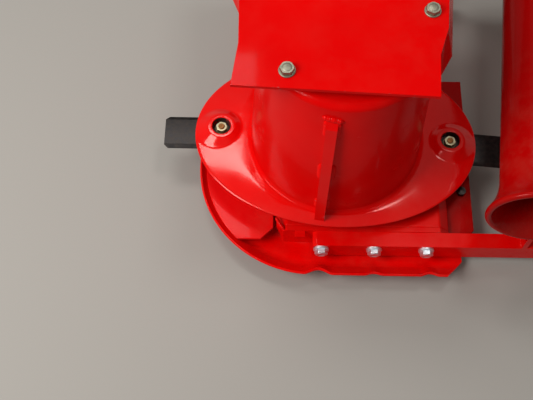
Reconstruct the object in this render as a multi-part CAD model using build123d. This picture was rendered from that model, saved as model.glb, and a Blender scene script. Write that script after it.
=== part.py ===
from build123d import *
from math import atan2, cos, degrees, hypot, radians, sin, sqrt, tan
import os

# heights above the ground
sole_t = 8.0
case_h = 49.0
hub_gap = 18.0
disc_gap = 33.0

# gear case of the cutter bar
case_left = -92.0
case_w = 272.0
case_front = -145.0
case_len = 467.0
case_wall = 6.0
case_slope = 16.0
case_flank_low = 20.0
case_flank_high = 34.0
cap_t = 8.0
case_corner_x = 11.0
case_corner_y = 16.0
case_hole_r = 33.0

# oval disc, half lengths
disc_long = 225.0
disc_short = 157.0
slope_long = 60.0
slope_short = 16.0
disc_t = 4.0
disc_drop = 6.0
disc_turn = -3.2

# knife seats on the disc
knife_circle = 182.5
boss_r = 32.0
boss_h = 7.0
boss_slope = 10.0
recess_r = 14.5
recess_floor = 4.0
seat_r = 18.0
seat_drop = 10.5

# knives and their bolts
knife_t = 4.0
knife_w = 58.0
knife_reach = 93.0
knife_heel = 22.0
knife_corner = 6.0
knife_rest = {"left": 3.0, "right": -1.8}
edge_t = 1.2
bevel_w = 7.0
pin_r = 9.5
pin_clear = 0.05
axial_gap = 0.5
pin_head_r = 15.0
pin_head_h = 6.0
stud_r = 5.0
nut_flats = 16.0
nut_h = 8.0
stud_out = 2.0
thread_clear = 0.1

# drum on the disc
drum_base_r = 134.0
drum_taper = 15.0
drum_foot = 7.0
drum_h = 278.0
drum_wall = 4.0
drum_bevel = 11.0
dish_r = 78.0
dish_depth = 9.0

# upright ribs on the drum
rib_t = 15.0
rib_below_top = 30.0
rib_out = 9.0
rib_foot_out = 17.0
rib_foot_h = 12.0
rib_angles = (-97.0, 83.0)

# spindle and its bearing housing
spindle_r = 25.0
spindle_flange_r = 52.0
spindle_depth = 20.0
housing_r = 62.0
housing_step_r = 44.0
housing_h = 9.0
housing_step_h = 4.0
bore_clear = 0.05
gear_cover_r = 58.0
gear_cover_h = 6.0
gear_cover_gap = 4.0

# skid shoe
rim_left = -219.0
rim_front = -220.0
rim_r = 187.0
shoe_w = 422.0
rim_corner = 35.0
shoe_len = 370.0
shoe_tail = 80.0
rim_h = 38.0
rim_steep = 22.0
slope_w = 38.0
slope_rise = 12.0
shoe_wall = 5.0
lip_w = 3.0
rim_gap = 18.0
scallop_w = 26.0
scallop_depth = 3.0

# guard plate inside the shoe
guard_low = 30.0
guard_t = 5.0
guard_front = -159.0
guard_right = -97.0
guard_corner = 20.0
guard_notch_y = -116.0
guard_back = 130.0
seat_gap = 0.3

# trailing plate behind the case
trail_low = 28.0
trail_t = 6.0
trail_w = 42.0
trail_front = -145.0
trail_corner = 6.0
trail_back = 140.0
trail_nut_in = 16.0
trail_nut_y = (-72.0, 0.0, 72.0)
trail_nut_flats = 14.0
trail_nut_h = 8.0

# tie bar and its flange bolts
tie_left = -35.0
tie_right = 334.0
tie_leg = 5.0
tie_depth = 24.0
tie_h = 40.0
tie_drop = 2.0
tie_bolt_x = (-21.5, 61.0, 142.5)
tie_bolt_drop = 15.0
tie_bolt_r = 6.0
flange_r = 12.2
flange_t = 3.0
head_flats = 18.0
head_h = 7.5
hole_clear = 0.5
lug_left = -63.0
lug_right = -47.0
lug_out = 10.0
lug_h = 12.0

# carrier tube with a flared mouth
tube_z = 190.0
tube_x = 298.5
tube_yaw = 6.5
tube_r = 57.0
tube_wall = 4.0
mouth_y = -188.0
mouth_r = 76.0
flare_len = 56.0
bead_r = 5.0

# saddle plate under the tube
saddle_t = 8.0
saddle_x = 288.0
saddle_back = -98.0
saddle_foot = 46.0
saddle_hole_r = 11.0

# end frame
frame_t = 8.0
frame_corner = 14.0
joint_pitch_x = 300.0
joint_pitch_z = 70.0
joint_z = 53.0
joint_hole_r = 6.75
foot_flare = 16.0
port_rim = 8.0
port_bevel = 30.0
window_bevel = 20.0
drive_r = 15.0
tube_port_r = 48.0

# cover plate over the drum
cover_clear = 17.0
cover_t = 5.0
cover_front_left = (-152.0, -101.0)
cover_front_right = (107.0, -114.0)
cover_flare_right = (111.0, -52.0)
cover_flare_left = (-144.0, -38.0)
cover_edge_left = -144.0
cover_edge_right = 124.0
cover_turn_y = -10.0
cover_edge_spread = 29.0
skirt_h = 58.0
skirt_out = 16.0
skirt_t = 5.0
skirt_right = ((-44.0, 113.0, 10.0), (-14.0, 123.0, 16.0))
skirt_left = ((44.0, -144.0, 1.0), (74.0, -145.0, 12.0))
cover_bolts = ((-82.0, -79.0), (105.0, 15.0))
cover_bolt_r = 5.0
cover_head_flats = 17.0
cover_head_h = 7.0
cover_nut_h = 8.0
washer_r = 11.0
washer_t = 2.0

# derived heights
case_low = sole_t
case_top = case_low + case_h
case_right = case_left + case_w
rim_right = rim_left + shoe_w
shoe_back = rim_front + shoe_len
trail_right = case_right + trail_w
disc_flat = case_top + disc_gap
disc_under = disc_flat - disc_t
seat_bottom = disc_under - seat_drop
knife_top = seat_bottom - axial_gap
knife_low = knife_top - knife_t
drum_top = disc_flat + drum_h
cover_low = drum_top + cover_clear
case_back = case_front + case_len
frame_y = case_back
cap_front = case_front - cap_t
tie_front = cap_front - tie_depth
tie_top = case_top - tie_drop

BASE = (Align.CENTER, Align.CENTER, Align.MIN)
CORNER = (Align.MIN, Align.MIN, Align.MIN)


def put(pieces, name):
    shape = Compound(children=list(pieces)) if isinstance(pieces, list) else pieces
    shape.label = name
    export_step(shape, "parts/" + name + ".step")


def polygon(points):
    return make_face(Polyline(*points, close=True))


def flat(points, low, thick):
    return Pos(0, 0, low) * extrude(polygon(points), thick)


def rod(radius, low, high):
    return Pos(0, 0, low) * Cylinder(radius, high - low, align=BASE)


def hexagon(flats, height, turn=0.0):
    return extrude(RegularPolygon(flats / 2, 6, major_radius=False, rotation=turn), height)


def along_y(face, start, length):
    plane = Plane((0, start, 0), x_dir=(1, 0, 0), z_dir=(0, -1, 0))
    return extrude(plane * face, -length)


def drill_y(x, y, z, radius, length):
    return Pos(x, y, z) * Rot(90, 0, 0) * Cylinder(radius, length)


os.makedirs("parts", exist_ok=True)


# gear case: two pressed halves that make a hollow bar
def bar_section(inset):
    low = case_low + inset
    high = case_top - inset
    left = case_left + inset
    right = case_right - inset
    face = polygon(
        [
            (left + case_slope, low),
            (right - case_slope, low),
            (right, case_low + case_flank_low),
            (right, case_low + case_flank_high),
            (right - case_slope, high),
            (left + case_slope, high),
            (left, case_low + case_flank_high),
            (left, case_low + case_flank_low),
        ]
    )
    return face


gear_case = along_y(bar_section(0), case_front, case_len)
cavity_front = case_front + case_corner_y
gear_case -= along_y(bar_section(case_wall), cavity_front, case_back - cavity_front)
gear_case -= rod(case_hole_r, case_top - case_wall - 1, case_top + 1)
end_cap = along_y(bar_section(0), cap_front, cap_t)
corner_pts = [
    (case_left - 1, cap_front - 1),
    (case_left + case_corner_x, cap_front - 1),
    (case_left + case_corner_x, cap_front),
    (case_left, cap_front + case_corner_y),
    (case_left - 1, cap_front + case_corner_y),
]
corner_cut = flat(corner_pts, 0, case_top + 1)
gear_case -= corner_cut
end_cap -= corner_cut
tie_bolt_z = case_top - tie_bolt_drop
for bolt_x in tie_bolt_x:
    drill = drill_y(bolt_x, cap_front, tie_bolt_z, tie_bolt_r + hole_clear, 2 * (cap_t + case_wall))
    end_cap -= drill
lug_w = lug_right - lug_left
lug_low = tie_top - lug_h
lug = Pos(lug_left, cap_front - lug_out, lug_low) * Box(lug_w, lug_out, lug_h, align=CORNER)
end_cap += lug

# bearing housing under the disc, and the round cover of the next gear
housing = rod(housing_r, case_top, case_top + housing_h)
housing += rod(housing_step_r, case_top + housing_h, case_top + housing_h + housing_step_h)
housing -= rod(spindle_r + bore_clear, case_top - 1, disc_flat)
gear_cover_y = case_back - gear_cover_r - gear_cover_gap
gear_cover = Pos(0, gear_cover_y, 0) * rod(gear_cover_r, case_top, case_top + gear_cover_h)

# spindle that carries the disc
spindle = rod(spindle_r, case_top - spindle_depth, disc_under)
spindle += rod(spindle_flange_r, case_top + hub_gap, disc_under)


# oval disc: a flat middle that slopes down to the rim
def dished(low, high):
    lower = Pos(0, 0, low) * Ellipse(disc_long, disc_short)
    upper = Pos(0, 0, high) * Ellipse(disc_long - slope_long, disc_short - slope_short)
    return loft([lower, upper], ruled=True)


rim_top = disc_flat - disc_drop
crest_r = boss_r - boss_slope
boss_foot = boss_r + disc_drop * boss_slope / boss_h
boss = Pos(0, 0, rim_top) * Cone(boss_foot, crest_r, disc_drop + boss_h, align=BASE)
outline = Pos(0, 0, rim_top - disc_t) * extrude(Ellipse(disc_long, disc_short), disc_t)
room = Pos(0, 0, rim_top - disc_t) * extrude(Ellipse(disc_long, disc_short), 2 * (disc_t + disc_drop + boss_h))
seat_places = [Pos(side * knife_circle, 0, 0) for side in (-1, 1)]
disc_body = dished(rim_top, disc_flat) + outline
disc = disc_body
for where in seat_places:
    disc += (where * boss) & room
disc -= dished(rim_top - disc_t, disc_under)
nut_low = disc_flat - recess_floor
for where in seat_places:
    disc -= where * Pos(0, 0, -disc_t) * boss
    disc += where * rod(seat_r, seat_bottom, disc_flat + boss_h)
    disc -= where * rod(recess_r, nut_low, disc_flat + boss_h + 1)
    disc -= where * rod(stud_r + thread_clear, seat_bottom - 1, disc_flat)
disc = Rot(0, 0, disc_turn) * disc

# tapered drum welded on the disc, with a dished lid
drum_top_r = drum_base_r - drum_taper
drum_lean = drum_taper / drum_h
lid_r = drum_top_r - drum_bevel
profile = [
    (0, disc_flat),
    (drum_base_r + drum_foot, disc_flat),
    (drum_base_r + 0.3 * drum_foot, disc_flat + 0.3 * drum_foot),
    (drum_base_r - drum_foot * drum_lean, disc_flat + drum_foot),
    (drum_top_r + drum_bevel * drum_lean, drum_top - drum_bevel),
    (drum_top_r - 0.28 * drum_bevel, drum_top - 0.32 * drum_bevel),
    (lid_r, drum_top),
    (dish_r, drum_top),
    (dish_r - dish_depth, drum_top - dish_depth),
    (0, drum_top - dish_depth),
]
drum_full = revolve(Plane.XZ * polygon(profile), Axis.Z)
inside = [
    (0, disc_flat),
    (drum_base_r - drum_wall, disc_flat),
    (drum_top_r - drum_wall, drum_top - drum_bevel - drum_wall),
    (lid_r - drum_wall, drum_top - dish_depth - drum_wall),
    (0, drum_top - dish_depth - drum_wall),
]
drum = drum_full - revolve(Plane.XZ * polygon(inside), Axis.Z)

# upright ribs welded on the drum
rib_list = []
rib_high = drum_top - rib_below_top
wall_at_rib = drum_base_r - drum_lean * (drum_h - rib_below_top)
for angle in rib_angles:
    pts = [
        (wall_at_rib / 2, disc_flat),
        (drum_base_r, disc_flat),
        (drum_base_r + rib_foot_out, rim_top),
        (drum_base_r + rib_foot_out, disc_flat + rib_foot_h),
        (wall_at_rib + rib_out, rib_high - rib_foot_h),
        (wall_at_rib, rib_high),
        (wall_at_rib / 2, rib_high),
    ]
    plate = extrude(Plane.XZ * polygon(pts), rib_t / 2, both=True)
    rib_list.append(Rot(0, 0, disc_turn + angle) * plate - drum_full - Rot(0, 0, disc_turn) * disc_body)

# knives, the shouldered pins that they swing on, and the nuts
half_w = knife_w / 2
blade_pts = [
    (-knife_heel + knife_corner, -half_w),
    (-knife_heel, -half_w + knife_corner),
    (-knife_heel, half_w - knife_corner),
    (-knife_heel + knife_corner, half_w),
    (knife_reach - knife_corner, half_w),
    (knife_reach, half_w - knife_corner),
    (knife_reach, -half_w + knife_corner),
    (knife_reach - knife_corner, -half_w),
]
blade_section = [
    (-half_w, knife_low),
    (half_w, knife_low),
    (half_w, knife_low + edge_t),
    (half_w - bevel_w, knife_top),
    (-half_w + bevel_w, knife_top),
    (-half_w, knife_low + edge_t),
]
bar_form = extrude(Plane.YZ * polygon(blade_section), knife_reach, both=True)
blade = flat(blade_pts, knife_low, knife_t) & bar_form
blade -= rod(pin_r + pin_clear, knife_low - 1, knife_top + 1)
pin = rod(pin_r, knife_low - axial_gap, seat_bottom)
pin += rod(pin_head_r, knife_low - axial_gap - pin_head_h, knife_low - axial_gap)
pin += rod(stud_r, seat_bottom, nut_low + nut_h + stud_out)
nut = Pos(0, 0, nut_low) * hexagon(nut_flats, nut_h)
nut -= rod(stud_r + thread_clear, nut_low - 1, nut_low + nut_h + 1)
turns = {"left": disc_turn + 180, "right": disc_turn}
knives = {}
for name, turn in turns.items():
    knives[name] = Rot(0, 0, turn) * Pos(knife_circle, 0, 0) * Rot(0, 0, knife_rest[name]) * blade
pin_list = [Rot(0, 0, turn) * Pos(knife_circle, 0, 0) * pin for turn in turns.values()]
nut_list = [Rot(0, 0, turn) * Pos(knife_circle, 0, 0) * nut for turn in turns.values()]

# skid shoe: a pressed pan whose rim turns up at the front and the cutting side
bend_x = rim_left + rim_r
bend_y = rim_front + rim_r
flat_r = rim_r - rim_steep - slope_w
shoe_profile = [
    (0, 0),
    (flat_r, 0),
    (rim_r - rim_steep, slope_rise),
    (rim_r, rim_h),
    (rim_r - lip_w, rim_h + lip_w),
    (rim_r - rim_steep - lip_w, slope_rise + shoe_wall),
    (flat_r - lip_w, sole_t),
    (0, sole_t),
]
pan = polygon(shoe_profile)
corner = Pos(bend_x, bend_y, 0) * Rot(0, 0, 180) * revolve(Plane.XZ * pan, Axis.Z, 90)
front_len = rim_right - bend_x
left_len = shoe_back - bend_y
front_run = Plane((bend_x, bend_y, 0), x_dir=(0, -1, 0), z_dir=(-1, 0, 0)) * pan
front_run = extrude(front_run, front_len, dir=(1, 0, 0))
left_run = Plane((bend_x, bend_y, 0), x_dir=(-1, 0, 0), z_dir=(0, 1, 0)) * pan
left_run = extrude(left_run, left_len, dir=(0, 1, 0))
middle = Pos(bend_x, bend_y, 0) * Box(front_len, left_len, sole_t, align=CORNER)
shoe = corner + front_run + left_run + middle
rim_cut = [
    (rim_right - rim_corner, rim_front - 2 * lip_w),
    (rim_right + 2 * lip_w, rim_front - 2 * lip_w),
    (rim_right + 2 * lip_w, rim_front + rim_corner),
    (rim_right, rim_front + rim_corner),
]
shoe -= flat(rim_cut, -1, 2 * rim_h)
tail_cut = [
    (rim_left - lip_w, shoe_back - shoe_tail),
    (rim_left + shoe_tail, shoe_back),
    (rim_left + shoe_tail, shoe_back + 1),
    (rim_left - lip_w, shoe_back + 1),
]
shoe -= flat(tail_cut, -1, 2 * rim_h)
for bolt_x in tie_bolt_x:
    dip = Pos(bolt_x, rim_front, rim_h + lip_w) * Rot(90, 0, 0)
    reach = (scallop_w * scallop_w / 4 + scallop_depth * scallop_depth) / (2 * scallop_depth)
    shoe -= dip * Pos(0, reach - scallop_depth, 0) * Cylinder(reach, 4 * rim_steep)

# guard plate lying inside the rim
steep_slope = rim_steep / (rim_h - slope_rise)
wall_r = rim_r - rim_steep - lip_w + (guard_low - slope_rise - shoe_wall) * steep_slope
guard_r = wall_r - seat_gap
reach_y = guard_front - bend_y
front_x = bend_x - sqrt(guard_r * guard_r - reach_y * reach_y)
mid_angle = (atan2(reach_y, front_x - bend_x) + radians(180)) / 2 - radians(90)
left_x = bend_x - guard_r
arc_mid = (bend_x - guard_r * cos(radians(24)), bend_y - guard_r * sin(radians(24)))
guard_edge = ThreePointArc((left_x, bend_y), arc_mid, (front_x, guard_front))
guard_rest = Polyline(
    (front_x, guard_front),
    (guard_right - guard_corner, guard_front),
    (guard_right, guard_front + guard_corner),
    (guard_right, guard_notch_y),
    (case_left, guard_notch_y),
    (case_left, guard_back),
    (left_x + shoe_tail / 2, guard_back),
    (left_x, guard_back - shoe_tail),
    (left_x, bend_y),
)
guard = Pos(0, 0, guard_low) * extrude(make_face(guard_edge + guard_rest), guard_t)

# trailing plate behind the case with its nuts
trail_pts = [
    (case_right, trail_front),
    (trail_right - trail_corner, trail_front),
    (trail_right, trail_front + trail_corner),
    (trail_right, trail_back),
    (case_right, trail_back),
]
trail = flat(trail_pts, trail_low, trail_t)
trail_nut_x = trail_right - trail_nut_in
trail_nut = hexagon(trail_nut_flats, trail_nut_h)
trail_nuts = [Pos(trail_nut_x, y, trail_low + trail_t) * trail_nut for y in trail_nut_y]

# tie bar: a folded angle bolted on the end cap
tie_len = tie_right - tie_left
tie_low = tie_top - tie_h
tie_bar = Pos(tie_left, tie_front, tie_top - tie_leg) * Box(tie_len, tie_depth, tie_leg, align=CORNER)
tie_bar += Pos(tie_left, tie_front, tie_low) * Box(tie_len, tie_leg, tie_h, align=CORNER)
tie_bar += Pos(tie_left, tie_front, tie_low) * Box(tie_leg, tie_depth, tie_h, align=CORNER)
tie_bolts = []
shank_len = tie_depth + cap_t
for bolt_x in tie_bolt_x:
    tie_bar -= drill_y(bolt_x, tie_front, tie_bolt_z, tie_bolt_r + hole_clear, 3 * tie_leg)
    bolt = rod(flange_r, 0, flange_t) + Pos(0, 0, flange_t) * hexagon(head_flats, head_h)
    bolt += rod(tie_bolt_r, -shank_len, 0)
    tie_bolts.append(Pos(bolt_x, tie_front, tie_bolt_z) * Rot(90, 0, 0) * bolt)

# carrier tube with a flared mouth and a rolled bead
tube_slope = tan(radians(tube_yaw))
tube_len = (frame_y - mouth_y) / cos(radians(tube_yaw))
tube_mouth_x = tube_x + mouth_y * tube_slope
nose_x = mouth_r - bead_r
nose_run = flare_len - bead_r


def arc_points(centre, radius, start, end, steps):
    turns = [start + (end - start) * step / steps for step in range(steps + 1)]
    return [(centre[0] + radius * cos(turn), centre[1] + radius * sin(turn)) for turn in turns]


outer_rise = nose_x - tube_r
outer_arc = (outer_rise * outer_rise + nose_run * nose_run - bead_r * bead_r) / (2 * (outer_rise + bead_r))
outer_turn = atan2(nose_run, outer_arc - outer_rise)
inner_r = tube_r - tube_wall
inner_rise = nose_x - inner_r
inner_arc = (inner_rise * inner_rise + nose_run * nose_run - bead_r * bead_r) / (2 * (inner_rise - bead_r))
inner_turn = atan2(nose_run, inner_arc - inner_rise)
half = radians(180)
outer_side = arc_points((tube_r + outer_arc, flare_len), outer_arc, half, half + outer_turn, 5)
nose_side = arc_points((nose_x, bead_r), bead_r, outer_turn, inner_turn - half, 6)
inner_side = arc_points((inner_r + inner_arc, flare_len), inner_arc, half + inner_turn, half, 3)
tube_back = tube_len + tube_r
wall_points = outer_side + nose_side[1:-1] + inner_side + [(inner_r, tube_back), (tube_r, tube_back)]
core_points = outer_side + nose_side[1:4] + [(0, 0), (0, tube_back), (tube_r, tube_back)]
tube_place = Pos(tube_mouth_x, mouth_y, tube_z) * Rot(0, 0, -tube_yaw) * Rot(-90, 0, 0)
tube = tube_place * revolve(Plane.XZ * polygon(wall_points), Axis.Z)
tube_core = tube_place * revolve(Plane.XZ * polygon(core_points), Axis.Z)
far_side = Box(8 * tube_r, 4 * tube_r, 4 * tube_r, align=(Align.CENTER, Align.MIN, Align.CENTER))
tube -= Pos(tube_x, frame_y, tube_z) * far_side

# saddle plate between the tie bar and the tube
saddle_pts = [
    (tie_front, tie_top),
    (tie_front, tube_z - tube_r / 2),
    (saddle_back, tube_z - tube_r / 2),
    (saddle_back, case_top + saddle_foot),
    (cap_front, tie_top),
]
saddle = extrude(Plane.YZ * polygon(saddle_pts), saddle_t)
saddle_hole = Rot(0, 90, 0) * Cylinder(saddle_hole_r, 3 * saddle_t)
saddle -= Pos(0, (cap_front + tie_front) / 2, case_top + saddle_foot / 1.6) * saddle_hole
saddle = Pos(saddle_x, 0, 0) * saddle
saddle -= tube_core

# end frame that joins the bar, the tube and the cover
joint_x = (case_left + case_right) / 2
tube_end_x = tube_x + frame_y * tube_slope
foot_left = joint_x - joint_pitch_x / 2 - 2 * joint_hole_r
foot_right = joint_x + joint_pitch_x / 2 + 2 * joint_hole_r
cover_back_left = cover_edge_left - lip_w * 2
cover_back_right = cover_edge_right + cover_edge_spread
port_edge = tube_end_x + tube_r + port_rim
frame_pts = [
    (foot_left, 0),
    (foot_right, 0),
    (foot_right + foot_flare, joint_z + joint_pitch_z),
    (port_edge - port_bevel, tube_z - tube_r - port_rim),
    (port_edge, tube_z - tube_r / 2),
    (port_edge, tube_z + tube_r / 2),
    (port_edge - port_bevel, tube_z + tube_r + port_rim),
    (cover_back_right + 2 * skirt_out, cover_low - skirt_h),
    (cover_back_right, cover_low),
    (cover_back_left, cover_low),
    (cover_back_left - skirt_out, cover_low - skirt_h),
    (foot_left - foot_flare, joint_z + joint_pitch_z),
]
frame_face = polygon(frame_pts)
frame_face = fillet(frame_face.vertices().sort_by(Axis.X)[-4:], frame_corner)
end_frame = along_y(frame_face, frame_y, frame_t)
window_left = foot_left
window_right = cover_back_right
window_pts = [
    (window_left, joint_z + joint_pitch_z),
    (window_right - 2 * window_bevel, joint_z + joint_pitch_z),
    (window_right + window_bevel, tube_z),
    (window_right + window_bevel, cover_low - 2 * skirt_h),
    (window_right - window_bevel, cover_low - skirt_h),
    (window_left, cover_low - skirt_h),
]
window = polygon(window_pts)
window = fillet(window.vertices(), frame_corner)
end_frame -= along_y(window, frame_y - frame_t, 3 * frame_t)
for hole_x in (joint_x - joint_pitch_x / 2, joint_x + joint_pitch_x / 2):
    for hole_z in (joint_z - joint_pitch_z / 2, joint_z + joint_pitch_z / 2):
        end_frame -= drill_y(hole_x, frame_y, hole_z, joint_hole_r, 4 * frame_t)
end_frame -= drill_y(joint_x, frame_y, case_low + case_h / 2, drive_r, 4 * frame_t)
end_frame -= drill_y(tube_end_x, frame_y, tube_z, tube_port_r, 4 * frame_t)

# cover plate over the drum, with sides that lean outwards
cover_pts = [
    cover_front_left,
    cover_front_right,
    cover_flare_right,
    (cover_edge_right, cover_turn_y),
    (cover_back_right, frame_y + frame_t),
    (cover_back_left, frame_y + frame_t),
    cover_flare_left,
]
cover = flat(cover_pts, cover_low, cover_t)
cover_top = cover_low + cover_t


def skirt(stations, way):
    faces = []
    for y, edge, lean in stations:
        pts = [
            (edge, cover_top),
            (edge - way * skirt_t, cover_top),
            (edge + way * (lean - skirt_t), cover_top - skirt_h),
            (edge + way * lean, cover_top - skirt_h),
        ]
        faces.append(Plane((0, y, 0), x_dir=(1, 0, 0), z_dir=(0, -1, 0)) * polygon(pts))
    return loft(faces, ruled=True)


cover += skirt([*skirt_right, (frame_y, cover_back_right, skirt_out)], 1)
cover += skirt([*skirt_left, (frame_y, cover_back_left, skirt_out)], -1)
cover_bolt_list = []
for bolt_x, bolt_y in cover_bolts:
    cover -= Pos(bolt_x, bolt_y, 0) * rod(cover_bolt_r + thread_clear, cover_low - 1, cover_top + 1)
    bolt = rod(washer_r, cover_top, cover_top + washer_t)
    bolt += Pos(0, 0, cover_top + washer_t) * hexagon(cover_head_flats, cover_head_h)
    bolt += rod(cover_bolt_r, cover_low, cover_top)
    bolt += Pos(0, 0, cover_low - cover_nut_h) * hexagon(cover_head_flats, cover_nut_h)
    cover_bolt_list.append(Pos(bolt_x, bolt_y, 0) * bolt)

put(gear_case, "gear_case")
put(end_cap, "end_cap")
put(housing, "bearing_housing")
put(gear_cover, "gear_cover")
put(spindle, "spindle")
put(disc, "disc")
put(drum, "drum")
put(rib_list[0], "rib_front")
put(rib_list[1], "rib_back")
put(knives["left"], "knife_left")
put(knives["right"], "knife_right")
put(pin_list, "knife_pins")
put(nut_list, "knife_nuts")
put(shoe, "skid_shoe")
put(guard, "guard_plate")
put(trail, "trailing_plate")
put(trail_nuts, "trailing_nuts")
put(tie_bar, "tie_bar")
put(tie_bolts, "tie_bolts")
put(tube, "carrier_tube")
put(saddle, "saddle_plate")
put(end_frame, "end_frame")
put(cover, "cover_plate")
put(cover_bolt_list, "cover_bolts")
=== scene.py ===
import bpy
import bmesh
from math import atan2, cos, hypot, pi, radians, sin, sqrt
from mathutils import Matrix, Vector


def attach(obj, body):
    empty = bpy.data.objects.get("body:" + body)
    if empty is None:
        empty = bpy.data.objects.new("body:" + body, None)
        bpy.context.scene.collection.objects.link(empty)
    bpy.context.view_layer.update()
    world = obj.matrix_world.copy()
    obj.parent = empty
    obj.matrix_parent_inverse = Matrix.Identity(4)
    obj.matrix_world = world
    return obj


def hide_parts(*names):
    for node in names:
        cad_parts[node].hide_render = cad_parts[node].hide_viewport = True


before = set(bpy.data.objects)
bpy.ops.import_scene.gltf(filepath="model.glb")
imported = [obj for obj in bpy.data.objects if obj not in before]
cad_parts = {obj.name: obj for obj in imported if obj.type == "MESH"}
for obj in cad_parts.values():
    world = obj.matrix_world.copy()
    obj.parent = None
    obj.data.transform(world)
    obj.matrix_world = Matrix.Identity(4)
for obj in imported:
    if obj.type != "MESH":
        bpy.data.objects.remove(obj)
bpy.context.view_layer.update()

# The viewpoint: someone stands in front of the bar's free end and looks down
# at 65 degrees, from 1.3 m away.
sight_turn = radians(-1.5)
sight_drop = radians(64.996)
sight_roll = radians(-0.5)
stand_off = 1.31247
aim = Vector((-0.10785, -0.11707, 0.090))
forward = Vector(
    (sin(sight_turn) * cos(sight_drop), cos(sight_turn) * cos(sight_drop), -sin(sight_drop))
)
level = Vector((cos(sight_turn), -sin(sight_turn), 0))
upright = level.cross(forward)
across = level * cos(sight_roll) + upright * sin(sight_roll)
above = upright * cos(sight_roll) - level * sin(sight_roll)
eye = aim - forward * stand_off
lens = bpy.data.cameras.new("eye")
lens.sensor_width = 36
lens.lens = 57.41
lens.clip_start = 0.01
viewer = bpy.data.objects.new("eye", lens)
viewer.matrix_world = Matrix(
    (
        (across.x, above.x, -forward.x, eye.x),
        (across.y, above.y, -forward.y, eye.y),
        (across.z, above.z, -forward.z, eye.z),
        (0, 0, 0, 1),
    )
)
bpy.context.scene.collection.objects.link(viewer)
bpy.context.scene.camera = viewer
bpy.context.scene.view_settings.view_transform = "Standard"

# The studio: a pale floor of smooth matt screed, a soft sky all round, a wide
# softbox on the left in front, and two smaller ones overhead.
floor_reach = 6
ground = bmesh.new()
bmesh.ops.create_grid(ground, x_segments=1, y_segments=1, size=floor_reach)
ground_mesh = bpy.data.meshes.new("ground")
ground.to_mesh(ground_mesh)
ground.free()
floor = bpy.data.objects.new("ground", ground_mesh)
bpy.context.scene.collection.objects.link(floor)
screed = bpy.data.materials.new("pale_screed")
screed.use_nodes = True
screed_shader = screed.node_tree.nodes["Principled BSDF"]
screed_shader.inputs["Base Color"].default_value = (0.34, 0.32, 0.29, 1)
screed_shader.inputs["Roughness"].default_value = 0.9
screed_shader.inputs["Specular IOR Level"].default_value = 0.1
ground_mesh.materials.append(screed)
sky = bpy.data.worlds.new("sky")
bpy.context.scene.world = sky
sky.use_nodes = True
sky.node_tree.nodes["Background"].inputs["Color"].default_value = (1.0, 0.97, 0.93, 1)
sky.node_tree.nodes["Background"].inputs["Strength"].default_value = 0.30


def softbox(name, place, target, wide, high, watts):
    lamp = bpy.data.lights.new(name, "AREA")
    lamp.shape = "RECTANGLE"
    lamp.size = wide
    lamp.size_y = high
    lamp.energy = watts
    holder = bpy.data.objects.new(name, lamp)
    holder.location = place
    holder.rotation_euler = (Vector(target) - Vector(place)).to_track_quat("-Z", "Y").to_euler()
    bpy.context.scene.collection.objects.link(holder)


softbox("key", (-1.25, -0.62, 1.45), (0.0, 0.0, 0.1), 0.9, 0.9, 29)
softbox("window", (-0.57, 0.84, 2.0), (-0.57, 0.84, 0.0), 0.80, 0.44, 12)
softbox("skylight", (0.38, 0.34, 2.0), (0.38, 0.34, 0.0), 0.34, 0.40, 6)


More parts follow.
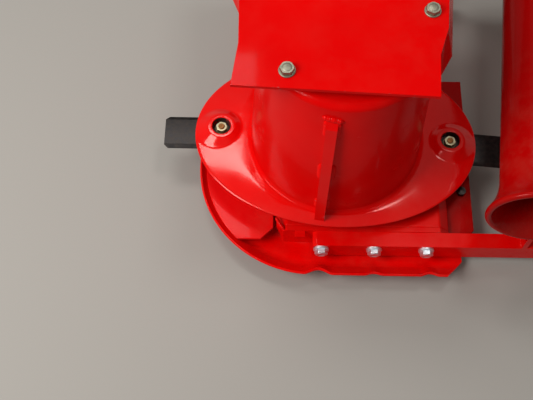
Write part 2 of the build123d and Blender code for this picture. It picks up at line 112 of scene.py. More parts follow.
# Skid shoe: a pressed steel pan that carries the bar's end over the ground,
# painted, and scraped bare underneath. Its rim is folded up round the front
# and the cutting side, and is dented beside each bolt of the tie bar.
def enamel(name, red, gloss=0.14, wear=0.3, sole=False, shine=1.2):
    paint = bpy.data.materials.new(name)
    paint.use_nodes = True
    tree = paint.node_tree
    shader = tree.nodes["Principled BSDF"]
    shader.inputs["IOR"].default_value = shine
    shader.inputs["Specular Tint"].default_value = (1.0, 0.55, 0.50, 1)
    shader.inputs["Coat Weight"].default_value = 0.06
    shader.inputs["Coat Roughness"].default_value = 0.05
    place = tree.nodes.new("ShaderNodeTexCoord")

    def pattern(scale, detail, rough=0.55, stretch=None):
        cloud = tree.nodes.new("ShaderNodeTexNoise")
        cloud.inputs["Scale"].default_value = scale
        cloud.inputs["Detail"].default_value = detail
        cloud.inputs["Roughness"].default_value = rough
        if stretch:
            laid = tree.nodes.new("ShaderNodeMapping")
            laid.inputs["Scale"].default_value = stretch
            laid.inputs["Rotation"].default_value = (0.2, 0.1, 0.5)
            tree.links.new(place.outputs["Object"], laid.inputs["Vector"])
            tree.links.new(laid.outputs["Vector"], cloud.inputs["Vector"])
        else:
            tree.links.new(place.outputs["Object"], cloud.inputs["Vector"])
        return cloud.outputs["Fac"]

    def ranged(source, low, high, to_low=0.0, to_high=1.0):
        span = tree.nodes.new("ShaderNodeMapRange")
        span.inputs["From Min"].default_value = low
        span.inputs["From Max"].default_value = high
        span.inputs["To Min"].default_value = to_low
        span.inputs["To Max"].default_value = to_high
        tree.links.new(source, span.inputs["Value"])
        return span.outputs["Result"]

    def worked(kind, first, second):
        step = tree.nodes.new("ShaderNodeMath")
        step.operation = kind
        for socket, value in zip(step.inputs, (first, second)):
            if isinstance(value, (int, float)):
                socket.default_value = value
            else:
                tree.links.new(value, socket)
        return step.outputs["Value"]

    def blended(amount, first, second):
        mix = tree.nodes.new("ShaderNodeMix")
        mix.data_type = "RGBA"
        tree.links.new(amount, mix.inputs["Factor"])
        for socket, value in ((mix.inputs[6], first), (mix.inputs[7], second)):
            if isinstance(value, tuple):
                socket.default_value = (*value, 1)
            else:
                tree.links.new(value, socket)
        return mix.outputs[2]

    faded = ranged(pattern(5, 3), 0.35, 0.75, 0.0, 0.35)
    body = blended(faded, red, tuple(0.55 * c for c in red))
    round_edge = tree.nodes.new("ShaderNodeBevel")
    round_edge.samples = 6
    round_edge.inputs["Radius"].default_value = 0.0022
    facing = tree.nodes.new("ShaderNodeNewGeometry")
    product = tree.nodes.new("ShaderNodeVectorMath")
    product.operation = "DOT_PRODUCT"
    tree.links.new(round_edge.outputs["Normal"], product.inputs[0])
    tree.links.new(facing.outputs["Normal"], product.inputs[1])
    edge = ranged(product.outputs["Value"], 0.985, 0.90)
    flakes = ranged(pattern(130, 5, 0.7), 0.64 - 0.06 * wear, 0.69 - 0.04 * wear)
    bare = worked("MULTIPLY", edge, flakes)
    scratch = ranged(pattern(40, 4, 0.6, (1, 14, 1)), 0.70, 0.76)
    scuff = worked("MULTIPLY", scratch, ranged(pattern(11, 2), 0.55, 0.70, 0.0, 0.30 * wear))
    shown = blended(scuff, body, tuple(min(1.0, c * 1.1 + 0.03) for c in red))
    specks = ranged(pattern(30, 6, 0.65), 0.42, 0.80)
    dust = worked("MULTIPLY", specks, ranged(pattern(3.5, 2), 0.4, 0.7, 0.02, 0.22 * wear))
    shown = blended(dust, shown, (0.30, 0.20, 0.13))
    if sole:
        apart = tree.nodes.new("ShaderNodeSeparateXYZ")
        tree.links.new(place.outputs["Object"], apart.inputs["Vector"])
        low = ranged(apart.outputs["Z"], 0.009, 0.001)
        ragged = ranged(pattern(60, 6, 0.7, (1, 6, 1)), 0.35, 0.60)
        bare = worked("MAXIMUM", bare, worked("MULTIPLY", low, ragged))
    shown = blended(bare, shown, (0.17, 0.15, 0.14))
    tree.links.new(shown, shader.inputs["Base Color"])
    tree.links.new(worked("MULTIPLY", bare, 0.85), shader.inputs["Metallic"])
    rough = ranged(pattern(24, 4), 0.3, 0.7, gloss, gloss + 0.10)
    rough = worked("ADD", rough, worked("MULTIPLY", bare, 0.30))
    rough = worked("ADD", rough, worked("MULTIPLY", dust, 0.8))
    tree.links.new(rough, shader.inputs["Roughness"])
    grain = worked("MULTIPLY", pattern(300, 2), 0.5)
    wave = worked("ADD", grain, worked("MULTIPLY", pattern(28, 2), 1.2))
    relief = tree.nodes.new("ShaderNodeBump")
    relief.inputs["Strength"].default_value = 0.10
    relief.inputs["Distance"].default_value = 0.0012
    height = worked("SUBTRACT", wave, worked("MULTIPLY", bare, 0.6))
    tree.links.new(height, relief.inputs["Height"])
    tree.links.new(relief.outputs["Normal"], shader.inputs["Normal"])
    return paint


def finished(bm, name, finish, body, stands_for=(), crease=35):
    bmesh.ops.remove_doubles(bm, verts=bm.verts, dist=1e-6)
    bmesh.ops.dissolve_degenerate(bm, dist=1e-7, edges=bm.edges)
    bmesh.ops.recalc_face_normals(bm, faces=bm.faces)
    mesh = bpy.data.meshes.new(name)
    bm.to_mesh(mesh)
    bm.free()
    for face in mesh.polygons:
        face.use_smooth = True
    mesh.set_sharp_from_angle(angle=radians(crease))
    mesh.materials.append(finish)
    piece = bpy.data.objects.new(name, mesh)
    bpy.context.scene.collection.objects.link(piece)
    piece.modifiers.new("even", "WEIGHTED_NORMAL").keep_sharp = True
    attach(piece, body)
    if stands_for:
        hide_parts(*stands_for)
    return piece


def fresh(result, kind):
    return [item for item in result["geom"] if isinstance(item, kind)]


def drawn_out(bm, faces, move):
    edges = {e for f in faces for e in f.edges}
    result = bmesh.ops.extrude_face_region(bm, geom=[*faces, *edges])
    bmesh.ops.translate(bm, verts=fresh(result, bmesh.types.BMVert), vec=move)
    return fresh(result, bmesh.types.BMFace)


def trimmed(bm, faces, spot, way):
    edges = {e for f in faces for e in f.edges}
    verts = {v for f in faces for v in f.verts}
    cut = bmesh.ops.bisect_plane(
        bm, geom=[*faces, *edges, *verts], dist=1e-7, plane_co=spot, plane_no=way, clear_outer=True
    )
    rim = [e for e in cut["geom_cut"] if isinstance(e, bmesh.types.BMEdge)]
    bmesh.ops.contextual_create(bm, geom=rim)


shoe_red = enamel("shoe_enamel", (0.78, 0.001, 0.001), sole=True)
shoe_centre = Vector((-0.032, -0.033, 0))
shoe_rear = 0.150
shoe_run = 0.235
run_steps = 118
bend_steps = 40
rim_line = -0.17
rim_foot = 0.012
rim_rise = 0.026
front_cut = ((0.168, -0.226, 0), (0.7606, -0.6493, 0))
rear_cut = ((-0.222, 0.070, 0), (-0.694, 0.720, 0))
# Each dent: where along the rim, half its width, depth.
shoe_dents = ((-0.026, 0.023, 0.0080), (0.060, 0.015, 0.0030), (0.147, 0.015, 0.0040))
# Each corner of the section: distance out, height, length of its rounding.
shoe_section = [
    (0.000, 0.000, 0.0),
    (0.127, 0.000, 0.012),
    (0.165, 0.012, 0.009),
    (0.187, 0.038, 0.0015),
    (0.184, 0.041, 0.0015),
    (0.162, 0.017, 0.007),
    (0.124, 0.008, 0.010),
    (0.000, 0.008, 0.0),
]
shoe = bmesh.new()
corners = [shoe.verts.new((shoe_centre.x - out, shoe_rear, z)) for out, z, _ in shoe_section]
shoe.faces.new(corners)
for corner, (_, _, ease) in zip(corners, shoe_section):
    if ease:
        bmesh.ops.bevel(
            shoe, geom=[corner], offset=ease, segments=5, profile=0.5, affect="VERTICES", material=-1
        )
section = drawn_out(shoe, shoe.faces[:], (0, -shoe_rear + shoe_centre.y, 0))
bent = bmesh.ops.spin(
    shoe,
    geom=[*section, *section[0].edges],
    cent=shoe_centre,
    axis=(0, 0, 1),
    angle=pi / 2,
    steps=bend_steps,
)
section = [f for f in bent["geom_last"] if isinstance(f, bmesh.types.BMFace)]
for _ in range(run_steps):
    section = drawn_out(shoe, section, (shoe_run / run_steps, 0, 0))
for corner in shoe.verts:
    for dent_x, half, depth in shoe_dents:
        off = abs(corner.co.x - dent_x) / half
        if off < 1 and corner.co.y < rim_line:
            push = depth * (1 - off * off) ** 2
            corner.co.y += push * max(0.0, (corner.co.z - rim_foot) / rim_rise)
trimmed(shoe, shoe.faces[:], *front_cut)
trimmed(shoe, shoe.faces[:], *rear_cut)
# The flat floor of the shoe is drawn back from the inner wall of the run, and
# the face where it meets the straight leg is inside and goes.
wall = [f for f in shoe.faces if all(abs(v.co.y - shoe_centre.y) < 1e-6 for v in f.verts)]
wall = [f for f in wall if f.calc_area() > 1e-8]
drawn_out(shoe, wall, (0, shoe_rear - shoe_centre.y, 0))
bmesh.ops.remove_doubles(shoe, verts=shoe.verts, dist=1e-6)
shared = [f for f in shoe.faces if all(abs(v.co.x - shoe_centre.x) < 1e-6 for v in f.verts)]
bmesh.ops.delete(shoe, geom=shared, context="FACES")
finished(shoe, "shoe_pan", shoe_red, "bar", ["skid_shoe"])


# Guard plate: flat steel laid inside the shoe's rim and tacked to the case.
# Its curved edge follows the rim, and its free corner is cut off.
def rounded(bm, radius, crease=30, steps=3):
    shared = [e for e in bm.edges if len(e.link_faces) == 2]
    bmesh.ops.bevel(
        bm,
        geom=[e for e in shared if e.calc_face_angle(0) > radians(crease)],
        offset=radius,
        segments=steps,
        profile=0.5,
        affect="EDGES",
        material=-1,
        clamp_overlap=True,
    )


plate_red = enamel("plate_enamel", (0.80, 0.003, 0.004), gloss=0.22, wear=0.6)
guard_low = 0.030
guard_thick = 0.005
guard_reach = 0.1754
guard_sweep = radians(46.0)
guard = bmesh.new()
first = guard.verts.new((shoe_centre.x - guard_reach, shoe_centre.y, guard_low))
swept = bmesh.ops.spin(
    guard, geom=[first], cent=shoe_centre, axis=(0, 0, 1), angle=guard_sweep, steps=26
)
last = [v for v in swept["geom_last"] if isinstance(v, bmesh.types.BMVert)][0]
straight_corners = [
    (-0.117, -0.159),
    (-0.097, -0.139),
    (-0.097, -0.116),
    (-0.092, -0.116),
    (-0.092, 0.130),
    (-0.1674, 0.130),
    (-0.2074, 0.050),
]
corner_verts = [guard.verts.new((x, y, guard_low)) for x, y in straight_corners]
for pair in zip([last, *corner_verts], [*corner_verts, first]):
    guard.edges.new(pair)
guard_face = bmesh.ops.contextual_create(guard, geom=guard.edges[:])["faces"]
drawn_out(guard, guard_face, (0, 0, guard_thick))
rounded(guard, 0.0009)
finished(guard, "guard_sheet", plate_red, "bar", ["guard_plate"])


# Gear case with its end cap, cover, bearing housing and saddle plate: pressed,
# turned and welded steel under one coat, with its edges softened by the paint.
def merged(node):
    bm = bmesh.new()
    bm.from_mesh(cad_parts[node].data)
    bmesh.ops.remove_doubles(bm, verts=bm.verts, dist=1e-6)
    flat = radians(0.8)
    bmesh.ops.dissolve_limit(bm, angle_limit=flat, verts=bm.verts, edges=bm.edges)
    return bm


def softened(node, radius, crease=30, steps=3):
    bm = merged(node)
    rounded(bm, radius, crease, steps)
    return bm


case_red = enamel("case_enamel", (0.76, 0.001, 0.001))
for node, radius in (
    ("gear_case", 0.0030),
    ("end_cap", 0.0012),
    ("saddle_plate", 0.0012),
    ("gear_cover", 0.0012),
    ("bearing_housing", 0.0010),
):
    finished(softened(node, radius), node + "_skin", case_red, "bar", [node])


# Trailing plate: a flat steel strip along the gear case's right side, above the
# shoe's floor, with three studs. Its red is darker than the parts' around it:
# painted shade, for the shade that the disc throws over it.
trailing_shaded_red = enamel("trailing_shade_enamel", (0.40, 0.001, 0.001))
trailing = softened("trailing_plate", 0.0012)
finished(trailing, "trailing_plate_skin", trailing_shaded_red, "bar", ["trailing_plate"])


# Tie bar: a folded steel angle across the free end, from the gear case to the
# carrier tube, held by three flange bolts. Its left end is folded down.
tie_red = enamel("tie_enamel", (0.80, 0.001, 0.001))
tie_end = -0.035
tie_top = 0.055
fold_radius = 0.008


def on_fold(corner):
    return abs(corner.co.x - tie_end) < 1e-4 and abs(corner.co.z - tie_top) < 1e-4


tie = merged("tie_bar")
fold = [e for e in tie.edges if all(on_fold(v) for v in e.verts)]
bmesh.ops.bevel(
    tie, geom=fold, offset=fold_radius, segments=8, profile=0.5, affect="EDGES", material=-1
)
rounded(tie, 0.0022, steps=4)
finished(tie, "tie_angle", tie_red, "bar", ["tie_bar"])


# Flange bolts of the tie bar: zinc-plated M12, with a washer face under the
# hexagon and a dished mark in the middle of the head.
def plating(name, tone, dull, rough=0.28, stain=0.4, metallic=1.0):
    metal = bpy.data.materials.new(name)
    metal.use_nodes = True
    tree = metal.node_tree
    shader = tree.nodes["Principled BSDF"]
    shader.inputs["Metallic"].default_value = metallic
    place = tree.nodes.new("ShaderNodeTexCoord")
    cloud = tree.nodes.new("ShaderNodeTexNoise")
    cloud.inputs["Scale"].default_value = 160
    cloud.inputs["Detail"].default_value = 6
    tree.links.new(place.outputs["Object"], cloud.inputs["Vector"])
    span = tree.nodes.new("ShaderNodeMapRange")
    span.inputs["From Min"].default_value = 0.35
    span.inputs["From Max"].default_value = 0.75
    span.inputs["To Max"].default_value = stain
    tree.links.new(cloud.outputs["Fac"], span.inputs["Value"])
    mix = tree.nodes.new("ShaderNodeMix")
    mix.data_type = "RGBA"
    mix.inputs[6].default_value = (*tone, 1)
    mix.inputs[7].default_value = (*dull, 1)
    tree.links.new(span.outputs["Result"], mix.inputs["Factor"])
    tree.links.new(mix.outputs[2], shader.inputs["Base Color"])
    coarse = tree.nodes.new("ShaderNodeMapRange")
    coarse.inputs["To Min"].default_value = rough
    coarse.inputs["To Max"].default_value = rough + 0.25
    tree.links.new(cloud.outputs["Fac"], coarse.inputs["Value"])
    tree.links.new(coarse.outputs["Result"], shader.inputs["Roughness"])
    relief = tree.nodes.new("ShaderNodeBump")
    relief.inputs["Strength"].default_value = 0.25
    relief.inputs["Distance"].default_value = 0.0003
    tree.links.new(cloud.outputs["Fac"], relief.inputs["Height"])
    tree.links.new(relief.outputs["Normal"], shader.inputs["Normal"])
    return metal


def turned_part(outline, place=Matrix.Identity(4), steps=48):
    bm = bmesh.new()
    spots = [bm.verts.new((out, 0, z)) for out, z in outline]
    lines = [bm.edges.new(pair) for pair in zip(spots, spots[1:])]
    bmesh.ops.spin(
        bm,
        geom=[*spots, *lines],
        cent=(0, 0, 0),
        axis=(0, 0, 1),
        angle=2 * pi,
        steps=steps,
        use_merge=True,
    )
    bmesh.ops.remove_doubles(bm, verts=bm.verts, dist=1e-6)
    bm.transform(place)
    return bm


def hex_part(flats, low, high, place, cut=0.0014):
    bm = bmesh.new()
    reach = flats / sqrt(3)
    bmesh.ops.create_cone(
        bm, cap_ends=True, segments=6, radius1=reach, radius2=reach, depth=high - low
    )
    bmesh.ops.translate(bm, verts=bm.verts, vec=(0, 0, (high + low) / 2))
    top = [v for v in bm.verts if v.co.z > (high + low) / 2]
    bmesh.ops.bevel(
        bm, geom=top, offset=cut, segments=1, profile=0.5, affect="VERTICES", material=-1
    )
    rounded(bm, 0.00035, 25, 2)
    bm.transform(place)
    return bm


def joined(*parts):
    whole = parts[0]
    for extra in parts[1:]:
        spare = bpy.data.meshes.new("spare")
        extra.to_mesh(spare)
        extra.free()
        whole.from_mesh(spare)
        bpy.data.meshes.remove(spare)
    return whole


bright_zinc = plating("bright_zinc", (0.84, 0.88, 0.92), (0.55, 0.60, 0.66), 0.34, 0.5)
tie_bolt_x = (-0.0215, 0.0610, 0.1425)
tie_face = -0.177
tie_bolt_z = 0.042
bolt_flats = 0.018
flange_rim = [(0.0122, 0), (0.0122, 0.0028), (0.0118, 0.0033), (0.0092, 0.0038)]
mark_rim = [(0.0078, 0.0096), (0.0072, 0.0105), (0.0055, 0.0105), (0.0048, 0.0099)]
shank_rim = [(0.0052, -0.0318), (0.006, -0.031), (0.006, 0.0)]
for number, bolt_x in enumerate(tie_bolt_x):
    seat = Matrix.Translation((bolt_x, tie_face, tie_bolt_z)) @ Matrix.Rotation(pi / 2, 4, "X")
    seat = seat @ Matrix.Rotation(0.5 + 0.06 * number, 4, "Z")
    bolt = joined(
        turned_part([(0, 0), *flange_rim, (0, 0.0038)], seat),
        hex_part(bolt_flats, 0.0036, 0.0100, seat),
        turned_part([(0, 0.0094), *mark_rim, (0, 0.0098)], seat),
        turned_part([(0, -0.0318), *shank_rim, (0, 0)], seat, 24),
    )
    names = ["tie_bolts"] if number == 0 else []
    finished(bolt, "tie_bolt_%d" % (number + 1), bright_zinc, "bar", names)


# Trailing plate's nuts: small steel hexagon nuts, black from their treatment
# and oiled, one on each of the plate's three studs.
oiled_black = plating("oiled_black", (0.05, 0.047, 0.045), (0.10, 0.07, 0.05), 0.20, 0.35)
stud_x = 0.206
stud_rows = (-0.072, 0.0, 0.072)
plate_top = 0.034
stud_tip = [(0.0038, 0.0070), (0.0038, 0.0077), (0.0031, 0.0079)]
for number, nut_y in enumerate(stud_rows):
    seat = Matrix.Translation((stud_x, nut_y, plate_top)) @ Matrix.Rotation(0.4 + number, 4, "Z")
    nut = hex_part(0.014, 0, 0.0072, seat)
    stud = turned_part([(0, 0.0070), *stud_tip, (0, 0.0079)], seat, 24)
    names = ["trailing_nuts"] if number == 0 else []
    label = "trailing_nut_%d" % (number + 1)
    finished(joined(nut, stud), label, oiled_black, "bar", names)


# Oval cutting disc: a pressed dish of 4 mm steel, welded to the drum, with a
# raised round boss over each knife. The knife's nut is sunk in the boss.
disc_turn = radians(-3.2)
disc_thick = 0.0040
disc_flat = 0.0900
disc_long = 0.165
disc_wide = 0.141
crown_start = 0.160
crown_run = 0.065
crown_drop = 0.0066
knife_circle = 0.1825
boss_reach = 0.048
boss_limit = 0.2215
boss_top = 0.0970
boss_flat = 0.0220
boss_slope = 0.35
well_out = 0.0147
well_inner_ring = 0.0142
well_outer_ring = 0.0148
well_dark = 0.0149
well_lip = 0.0163
well_top = 0.0860
lip_drop = 0.0008
fine_reach = 0.0225
blend_rise = 0.0004
blend_height = 0.0015
disc_red = enamel("disc_enamel", (0.76, 0.001, 0.001), gloss=0.07, shine=1.55)


def crown(out):
    return disc_flat - crown_drop * max(0.0, (out - crown_start) / crown_run) ** 1.3


def half_width(out):
    if out < disc_long:
        return out * disc_wide / disc_long
    return disc_wide + (out - disc_long) * 16 / 60


rows = [0.1475 + 0.0015 * k for k in range(50)]
disc_edge = [
    (0.2238, 0.0834),
    (0.2250, 0.0825),
    (0.2248, 0.0808),
    (0.2240, 0.0801),
    (0.2225, 0.0800),
]
disc_section = [(out, crown(out)) for out in (0.0, 0.120, *rows)]
disc_section += disc_edge
disc_section += [(out, crown(out) - disc_thick) for out in (*reversed(rows), 0.100, 0.0)]
disc = turned_part(disc_section, steps=480)
for corner in disc.verts:
    out = hypot(corner.co.x, corner.co.y)
    corner.co.y *= half_width(out) / max(out, 1e-6)
for side in (-1, 1):
    hub = Vector((side * knife_circle, 0))

    def away(corner):
        return (corner.co.xy - hub).length

    def on_top(corner):
        return corner.co.z > crown(hypot(corner.co.x, 1.26 * corner.co.y)) - 0.001

    near = [e for e in disc.edges if all(away(v) < fine_reach and on_top(v) for v in e.verts)]
    bmesh.ops.subdivide_edges(disc, edges=near, cuts=1, use_grid_fill=True)
    in_reach = [v for v in disc.verts if away(v) < boss_reach and abs(v.co.x) < boss_limit]
    raised = {v: on_top(v) for v in in_reach}
    lines = [e for e in disc.edges if all(raised.get(v) for v in e.verts)]
    for inner, outer in [sorted(e.verts, key=away) for e in lines]:
        if away(inner) < well_out <= away(outer):
            inner.co.xy = hub + (inner.co.xy - hub) * (well_inner_ring / away(inner))
            outer.co.xy = hub + (outer.co.xy - hub) * (well_outer_ring / away(outer))
    for corner, top in raised.items():
        fall = away(corner) - boss_flat
        target = boss_top - boss_slope * (fall + hypot(fall, 0.0012))
        if not top:
            target -= disc_thick
        meeting = max(0.0, 1 - abs(target - corner.co.z) / blend_height)
        corner.co.z = max(target, corner.co.z) + blend_rise * meeting * meeting
        if top:
            corner.co.z -= lip_drop * (max(0.0, well_lip - away(corner)) / 0.0015) ** 2
        if away(corner) < well_out:
            corner.co.z = well_top if top else well_top - disc_thick
disc.transform(Matrix.Rotation(disc_turn, 4, "Z"))
oval = finished(disc, "oval_disc", disc_red, "rotor", ["disc"], crease=50)
# The knife recesses are near black: partly grease and dirt, partly painted shade of the deep hole.
grime_shade_black = (0.016, 0.008, 0.005)
grime_and_shade = plating("recess_grime_and_shade", grime_shade_black, (0.045, 0.018, 0.010), 0.55, 0.6, metallic=0.0)
oval.data.materials.append(grime_and_shade)
for face in oval.data.polygons:
    for side in (-1, 1):
        hub = Matrix.Rotation(disc_turn, 3, "Z") @ Vector((side * knife_circle, 0, 0))
        if (face.center.xy - hub.xy).length < well_dark and face.center.z > 0.085:
            face.material_index = 1


# Knife seats: thick steel collars, turned and welded under the disc's bosses,
# which the knife bolts clamp against.
collar_section = [
    (0.0052, 0.0755),
    (0.0170, 0.0755),
    (0.0180, 0.0765),
    (0.0180, 0.0930),
    (0.0152, 0.0930),
    (0.0152, 0.0858),
    (0.0052, 0.0858),
    (0.0052, 0.0755),
]
for side, label in ((-1, "left"), (1, "right")):
    seat = Matrix.Rotation(disc_turn, 4, "Z") @ Matrix.Translation((side * knife_circle, 0, 0))
    finished(turned_part(collar_section, seat), "knife_seat_" + label, disc_red, "rotor")


# Crop drum: a tapered steel pot welded on the disc, rounded at its top edge,
# with a shallow dished lid held by a bolt in the middle.
def ring_rounded(bm, out, z, radius, steps):
    def on_ring(corner):
        spread = hypot(corner.co.x, corner.co.y)
        return abs(spread - out) < 1e-4 and abs(corner.co.z - z) < 1e-5

    found = [e for e in bm.edges if all(on_ring(v) for v in e.verts)]
    bmesh.ops.bevel(
        bm, geom=found, offset=radius, segments=steps, profile=0.5, affect="EDGES", material=-1
    )


drum_red = enamel("drum_enamel", (0.72, 0.001, 0.001), gloss=0.18, shine=1.12)
drum_out = 0.119
drum_top = 0.368
lid_out = 0.078
lid_floor_out = 0.069
lid_floor = 0.359
foot_out = 0.134
foot_low = 0.0901
foot_radius = 0.007
foot = []
for k in range(8, -1, -1):
    bend = k * pi / 16
    out = foot_out + foot_radius * (1 - cos(bend))
    foot.append((out, foot_low + foot_radius * (1 - sin(bend))))
lid = [(lid_out, drum_top), (lid_floor_out, lid_floor), (0.0, lid_floor)]
drum_section = [(0.0, 0.0885), (0.1405, 0.0885), *foot, (drum_out, drum_top), *lid]
drum = turned_part(drum_section, steps=160)
ring_rounded(drum, drum_out, drum_top, 0.011, 8)
ring_rounded(drum, lid_out, drum_top, 0.004, 4)
ring_rounded(drum, lid_floor_out, lid_floor, 0.004, 4)
finished(drum, "crop_drum", drum_red, "rotor", ["drum"])
lid_seat = Matrix.Translation((0, 0, lid_floor)) @ Matrix.Rotation(0.2, 4, "Z")
lid_bolt = joined(
    turned_part([(0, 0), (0.018, 0), (0.018, 0.002), (0.0172, 0.0027), (0, 0.0027)], lid_seat),
    hex_part(0.019, 0.0025, 0.0082, lid_seat),
)
finished(lid_bolt, "drum_lid_bolt", bright_zinc, "rotor")


# Upright ribs: two flat steel bars on the drum's wall, which throw the crop
# inwards. Each is welded with short stitches at its top, middle and foot.
def bead(points, radius, pitch=0.0028):
    bm = bmesh.new()
    route = [Vector(p) for p in points]
    lengths = [(b - a).length for a, b in zip(route, route[1:])]
    total = sum(lengths)
    count = max(6, int(total / (pitch / 4)))

    def spot(far):
        for a, b, run in zip(route, route[1:], lengths):
            if far <= run + 1e-9:
                return a.lerp(b, min(1.0, far / run)), (b - a).normalized()
            far -= run
        return route[-1], (route[-1] - route[-2]).normalized()

    bmesh.ops.create_circle(bm, cap_ends=False, segments=10, radius=1.0)
    rim = bm.edges[:]
    loops = [bm.verts[:]]
    base = [v.co.copy() for v in loops[0]]
    for _ in range(count):
        result = bmesh.ops.extrude_edge_only(bm, edges=rim)
        loops.append(fresh(result, bmesh.types.BMVert))
        rim = fresh(result, bmesh.types.BMEdge)
        rim = [e for e in rim if all(v in loops[-1] for v in e.verts)]
    for step, ring in enumerate(loops):
        far = total * step / count
        middle, way = spot(far)
        tilt = way.to_track_quat("Z", "X").to_matrix()
        phase = (far / pitch) % 1.0
        swell = 0.86 + 0.18 * (1 - (2 * phase - 1) ** 2) + 0.05 * sin(far * 900)
        fade = min(1.0, 0.25 + min(far, total - far) / radius * 0.75)
        for index, corner in enumerate(ring):
            corner.co = middle + tilt @ (base[index] * (radius * swell * fade))
    bmesh.ops.holes_fill(bm, edges=bm.edges, sides=12)
    return bm


rib_red = enamel("rib_enamel", (0.76, 0.001, 0.001))
wall_foot = 0.1344
wall_foot_z = 0.090
wall_lean = 0.0540
weld_side = 0.0084
weld_sunk = 0.0004
rib_rise = 0.248
rib_top = 0.3398
# Each stitch: its lowest and highest point, and its half thickness.
rib_stitches = ((0.100, 0.124, 0.0036), (0.188, 0.226, 0.0046), (0.300, 0.334, 0.0036))
for label, angle in (("front", -97.0), ("back", 83.0)):
    turn = Matrix.Rotation(disc_turn + radians(angle), 4, "Z")
    node = "rib_" + label
    finished(softened(node, 0.0014), node + "_bar", rib_red, "rotor", [node])
    stitches = []
    for side in (-1, 1):
        for low, high, thick in rib_stitches:
            run = []
            for z in (low, (low + high) / 2, high):
                out = wall_foot - weld_sunk - wall_lean * (z - wall_foot_z)
                run.append((out, side * weld_side, z))
            stitches.append(bead(run, thick))
    top = wall_foot - wall_lean * rib_rise
    over = [(top - 0.001, -0.0145, 0.3410), (top, 0, rib_top), (top - 0.001, 0.0145, 0.3370)]
    stitches.append(bead(over, 0.0042))
    whole = joined(*stitches)
    whole.transform(turn)
    finished(whole, node + "_welds", rib_red, "rotor")


# Knives: hardened flat steel, black from the heat treatment, with bevelled
# cutting edges that are ground bright, free to swing on their bolts.
knife_steel = plating("knife_steel", (0.030, 0.028, 0.028), (0.075, 0.060, 0.050), 0.30, 0.5)
for label in ("left", "right"):
    node = "knife_" + label
    blade = softened(node, 0.0004)
    finished(blade, node + "_blade", knife_steel, label + "_knife", [node])


# Knife bolts: shouldered pins with a round head below the knife, and yellow
# plated nuts sunk in the bosses, with a rusty stud end in each.
yellow_zinc = plating("yellow_zinc", (0.55, 0.48, 0.30), (0.25, 0.19, 0.10), 0.30, 0.5)
rusty = plating("rusty_stud", (0.42, 0.20, 0.07), (0.16, 0.07, 0.03), 0.45, 0.7)
# The washers under the knife nuts are dark brown: painted shade of the recess they sit in.
shaded_washer = plating("shaded_washer", (0.16, 0.13, 0.08), (0.05, 0.03, 0.02), 0.40, 0.8)
# The near-black ring in each nut's bore round the stud is painted shade of the hole.
bore_shade = plating("bore_shade", (0.02, 0.018, 0.016), (0.06, 0.04, 0.03), 0.5, 0.4)
pin_section = [
    (0, 0.0645),
    (0.0138, 0.0645),
    (0.0150, 0.0657),
    (0.0150, 0.0698),
    (0.0143, 0.0705),
    (0.0095, 0.0705),
    (0.0095, 0.0755),
    (0.0050, 0.0755),
    (0.0050, 0.0952),
    (0.0042, 0.0960),
    (0, 0.0960),
]
washer_section = [
    (0.0051, 0.0861),
    (0.0102, 0.0861),
    (0.0106, 0.0865),
    (0.0104, 0.0876),
    (0.0051, 0.0876),
    (0.0051, 0.0861),
]
thread_section = [
    (0.0045, 0.0920),
    (0.0064, 0.0920),
    (0.0064, 0.0941),
    (0.0050, 0.0934),
    (0.0045, 0.0920),
]
for side, label in ((-1, "left"), (1, "right")):
    seat = Matrix.Rotation(disc_turn, 4, "Z") @ Matrix.Translation((side * knife_circle, 0, 0))
    seat = seat @ Matrix.Rotation(0.26, 4, "Z")
    pin = turned_part(pin_section, seat)
    nut = hex_part(0.016, 0.0870, 0.0940, seat)
    washer = turned_part(washer_section, seat)
    thread = turned_part(thread_section, seat)
    pins = ["knife_pins"] if label == "left" else []
    nuts = ["knife_nuts"] if label == "left" else []
    finished(pin, "knife_bolt_" + label, rusty, "rotor", pins)
    finished(nut, "knife_nut_" + label, yellow_zinc, "rotor", nuts)
    finished(washer, "nut_washer_" + label, shaded_washer, "rotor")
    finished(thread, "nut_bore_shade_" + label, bore_shade, "rotor")


# Carrier tube: a drawn steel tube along the bar, flared at its open mouth and
# rolled over there into a round bead. Inside it is dusty and dull. Its red is
# darker than the rest: a darker coat, with painted shade added to it.
tube_red_and_shade = enamel("tube_shaded_enamel", (0.35, 0.001, 0.001), gloss=0.16, wear=0.4)
tube_out = 0.057
tube_in = 0.053
tube_long = 0.57
tube_z = 0.190
mouth_y = -0.188
frame_back = 0.322
flare_long = 0.056
nose_radius = 0.005


def tube_x(y):
    return 0.2985 + y * 0.11394


tube_place = (
    Matrix.Translation((tube_x(mouth_y), mouth_y, tube_z))
    @ Matrix.Rotation(radians(-6.5), 4, "Z")
    @ Matrix.Rotation(radians(-90), 4, "X")
)
nose = Vector((0.071, 0, nose_radius))
tube = bmesh.new()


def flare(start, bead_side):
    rise = nose.x - start
    run = flare_long - nose.z
    radius = rise * rise + run * run - nose_radius**2
    radius /= 2 * (rise + bead_side * nose_radius)
    return Vector((start + radius, 0, flare_long)), atan2(run, radius - rise)


def arc(start, centre, way, angle, steps):
    swept = bmesh.ops.spin(
        tube, geom=[start], cent=centre, axis=(0, way, 0), angle=angle, steps=steps
    )
    return [v for v in swept["geom_last"] if isinstance(v, bmesh.types.BMVert)][0]


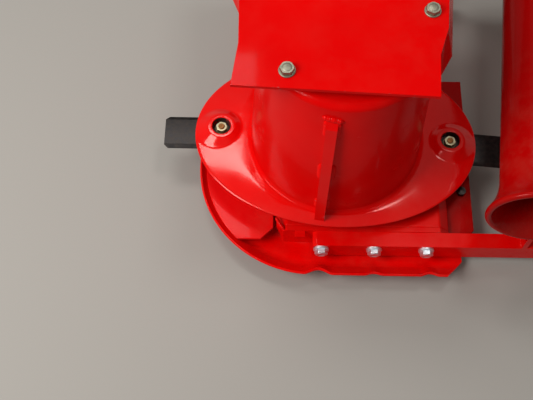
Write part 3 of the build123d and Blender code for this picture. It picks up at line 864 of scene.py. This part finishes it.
outer_centre, outer_angle = flare(tube_out, 1)
inner_centre, inner_angle = flare(tube_in, -1)
outer_foot = tube.verts.new((tube_out, 0, flare_long))
tip = arc(outer_foot, outer_centre, -1, outer_angle, 14)
tip = arc(tip, nose, 1, outer_angle + pi - inner_angle, 18)
inner_foot = arc(tip, inner_centre, 1, inner_angle, 10)
far_outer = tube.verts.new((tube_out, 0, tube_long))
far_inner = tube.verts.new((tube_in, 0, tube_long))
for pair in ((outer_foot, far_outer), (far_outer, far_inner), (far_inner, inner_foot)):
    tube.edges.new(pair)
bmesh.ops.spin(
    tube,
    geom=[*tube.verts, *tube.edges],
    cent=(0, 0, 0),
    axis=(0, 0, 1),
    angle=2 * pi,
    steps=128,
    use_merge=True,
)
bmesh.ops.remove_doubles(tube, verts=tube.verts, dist=1e-6)
tube.transform(tube_place)
everything = [*tube.verts, *tube.edges, *tube.faces]
sawn = bmesh.ops.bisect_plane(
    tube, geom=everything, plane_co=(0, frame_back, 0), plane_no=(0, 1, 0), clear_outer=True
)
cut_edges = [e for e in sawn["geom_cut"] if isinstance(e, bmesh.types.BMEdge)]
bmesh.ops.bridge_loops(tube, edges=cut_edges)
finished(tube, "flared_tube", tube_red_and_shade, "bar", ["carrier_tube"])


# Welds of the bar: painted steel beads round the tube and the gear case at the
# end frame, beside the saddle plate, and where the guard plate is tacked.
weld_red = enamel("weld_enamel", (0.74, 0.002, 0.002), wear=0.5)
ring_y = 0.3205
tube_ring = []
for k in range(65):
    around = pi * k / 32
    tube_ring.append((tube_x(ring_y) + 0.0585 * cos(around), ring_y, tube_z + 0.0580 * sin(around)))
finished(bead(tube_ring, 0.0030), "tube_end_weld", weld_red, "bar")
case_ends = [
    (-0.092, 0.042),
    (-0.076, 0.057),
    (0.164, 0.057),
    (0.180, 0.042),
    (0.180, 0.028),
    (0.164, 0.009),
]
case_ring = [(x, 0.3210, z) for x, z in case_ends]
finished(bead(case_ring, 0.0030), "bar_end_weld", weld_red, "bar")
for label, x in (("left", 0.2878), ("right", 0.2962)):
    run = [(x, -0.1745, 0.0554), (x, -0.1560, 0.0554)]
    finished(bead(run, 0.0026), "saddle_weld_" + label, weld_red, "bar")
tacks = [
    [(-0.0930, -0.1310, 0.0560), (-0.0875, -0.1420, 0.0565), (-0.0800, -0.1515, 0.0560)],
    [(-0.0925, -0.0200, 0.0357), (-0.0925, 0.0300, 0.0357)],
]
tack_beads = [bead(run, 0.0028) for run in tacks]
finished(joined(*tack_beads), "guard_tacks", weld_red, "bar")


# End frame: a burnt-out steel plate that joins the bar, the tube and the
# cover, with the bolt holes of the next module.
frame_red = enamel("frame_enamel", (0.66, 0.001, 0.001), wear=0.5)
end_plate = softened("end_frame", 0.0012)
finished(end_plate, "end_frame_plate", frame_red, "bar", ["end_frame"])


# Cover plate over the drum: one steel sheet, folded down at both sides, that
# meets the end frame at its back. Each of its two bolts has a washer and nut.
cover_red = enamel("cover_enamel", (0.66, 0.001, 0.001), gloss=0.12, shine=1.08)
cover = softened("cover_plate", 0.0016)
finished(cover, "cover_sheet", cover_red, "bar", ["cover_plate"])


# Cover bolts: galvanised M10 bolts with washers above the sheet and nuts below
# it, dull and grey-green with age.
dull_zinc = plating("dull_zinc", (0.34, 0.33, 0.25), (0.17, 0.16, 0.12), 0.42, 0.6)
cover_top = 0.390
cover_under = 0.385
cover_flats = 0.017
washer_rim = [(0.011, 0), (0.011, 0.0013), (0.0104, 0.0019)]
dome_rim = [(0.0072, 0.0070), (0.0062, 0.0081), (0.0040, 0.0087)]
for number, (bolt_x, bolt_y) in enumerate(((-0.082, -0.079), (0.105, 0.015))):
    seat = Matrix.Translation((bolt_x, bolt_y, cover_top))
    seat = seat @ Matrix.Rotation(pi / 6 * (1 - number), 4, "Z")
    below = Matrix.Translation((bolt_x, bolt_y, cover_under)) @ Matrix.Rotation(pi, 4, "X")
    bolt = joined(
        turned_part([(0, 0), *washer_rim, (0, 0.0019)], seat),
        hex_part(cover_flats, 0.0018, 0.0078, seat, 0.0022),
        turned_part([(0, 0.0070), *dome_rim, (0, 0.0089)], seat),
        hex_part(cover_flats, 0, 0.0079, below),
        turned_part([(0, -0.006), (0.005, -0.006), (0.005, 0.001), (0, 0.001)], seat, 24),
    )
    names = ["cover_bolts"] if number == 0 else []
    finished(bolt, "cover_bolt_%d" % (number + 1), dull_zinc, "bar", names)


# Spindle: turned steel, lightly oiled, which stands in the bearing housing and
# carries the disc. Its solid from the frame is kept and given its finish.
turned_steel = plating("turned_steel", (0.45, 0.44, 0.42), (0.22, 0.20, 0.17), 0.25, 0.4)
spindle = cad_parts["spindle"].data
spindle.materials.clear()
spindle.materials.append(turned_steel)
